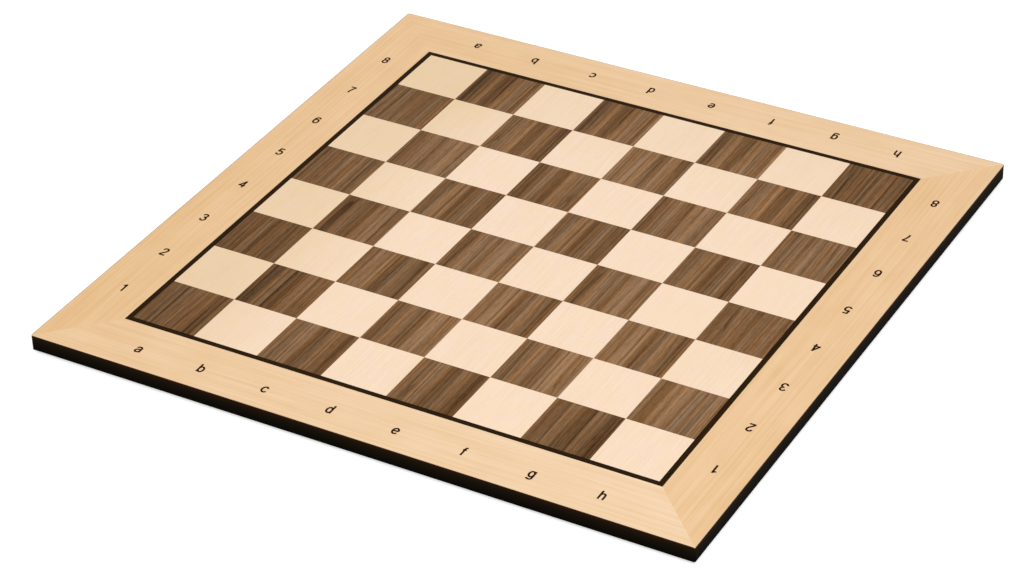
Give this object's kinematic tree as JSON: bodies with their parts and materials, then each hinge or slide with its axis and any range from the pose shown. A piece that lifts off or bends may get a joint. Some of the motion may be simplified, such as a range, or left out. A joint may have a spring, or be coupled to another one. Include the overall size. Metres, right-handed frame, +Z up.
{
  "type": "electronic chess board",
  "caption": "Slim square wooden chess board with walnut and maple squares, a black inlaid line, a maple border and black edges, and move sensors and a rear port inside its body.",
  "frame": {"origin": "middle of the board on the plane that its feet stand on", "axes": "+Z up out of the playing surface, +X along the files from a to h, +Y along the ranks from 1 to 8, so the ports are in the +Y edge"},
  "size_m": [0.547, 0.547, 0.015],
  "materials": {
    "walnut_veneer": "satin lacquer",
    "maple_veneer": "satin lacquer",
    "border_maple": "satin lacquer",
    "black_inlay": "dyed veneer, satin lacquer",
    "black_lacquer": "black lacquer, satin",
    "fibreboard": "bare fibreboard",
    "black_cover": "black painted fibreboard, matte",
    "black_steel": "black zinc",
    "zinc_steel": "zinc plated",
    "foot_rubber": "matte",
    "circuit_board": "solder mask",
    "chip_black": "moulded",
    "ivory_plastic": "moulded",
    "flat_cable": "film",
    "grey_foam": "closed-cell foam",
    "shield_can": "tinned",
    "battery_foil": "foil pouch",
    "lead_plastic": "sleeve",
    "socket_steel": "drawn",
    "bezel_plastic": "fine texture",
    "button_plastic": "satin",
    "switch_plastic": "moulded",
    "lamp_white": "moulded",
    "clear_plastic": "clear moulded"
  },
  "bodies": {
    "board": {"rank_1_walnut_squares": "walnut_veneer", "rank_2_walnut_squares": "walnut_veneer", "rank_3_walnut_squares": "walnut_veneer", "rank_4_walnut_squares": "walnut_veneer", "rank_5_walnut_squares": "walnut_veneer", "rank_6_walnut_squares": "walnut_veneer", "rank_7_walnut_squares": "walnut_veneer", "rank_8_walnut_squares": "walnut_veneer", "rank_1_maple_squares": "maple_veneer", "rank_2_maple_squares": "maple_veneer", "rank_3_maple_squares": "maple_veneer", "rank_4_maple_squares": "maple_veneer", "rank_5_maple_squares": "maple_veneer", "rank_6_maple_squares": "maple_veneer", "rank_7_maple_squares": "maple_veneer", "rank_8_maple_squares": "maple_veneer", "inlay_line_front": "black_inlay", "border_veneer_front": "border_maple", "edge_lipping_front": "black_lacquer", "frame_rail_front": "fibreboard", "inlay_line_right": "black_inlay", "border_veneer_right": "border_maple", "edge_lipping_right": "black_lacquer", "frame_rail_right": "fibreboard", "inlay_line_rear": "black_inlay", "border_veneer_rear": "border_maple", "edge_lipping_rear": "black_lacquer", "frame_rail_rear": "fibreboard", "inlay_line_left": "black_inlay", "border_veneer_left": "border_maple", "edge_lipping_left": "black_lacquer", "frame_rail_left": "fibreboard", "sensor_board_front_left": "circuit_board", "sensor_board_front_right": "circuit_board", "sensor_board_rear_left": "circuit_board", "sensor_board_rear_right": "circuit_board", "playing_panel": "fibreboard", "long_rib": "fibreboard", "short_ribs": "fibreboard", "bottom_cover": "black_cover", "cover_screws": "black_steel", "rubber_feet": "foot_rubber", "magnetic_sensors": "chip_black", "decoder_chips": "chip_black", "cable_sockets": "ivory_plastic", "flat_cables": "flat_cable", "board_screws": "zinc_steel", "foam_pads": "grey_foam", "controller_board": "circuit_board", "processor": "chip_black", "wireless_module": "shield_can", "battery": "battery_foil", "battery_lead": "lead_plastic", "usb_socket": "socket_steel", "port_bezel": "bezel_plastic", "power_switch": "switch_plastic", "status_lamp": "lamp_white", "light_guide": "clear_plastic"},
    "power_button": {"power_button": "button_plastic", "switch_plunger": "ivory_plastic"}
  },
  "joints": [
    {"name": "power_button_press", "type": "slide", "parent": "board", "child": "power_button", "axis": [0, -1, 0], "range_m": [0, 0.0005], "stiffness_N_per_m": 1500, "springref_m": -0.0003}
  ]
}
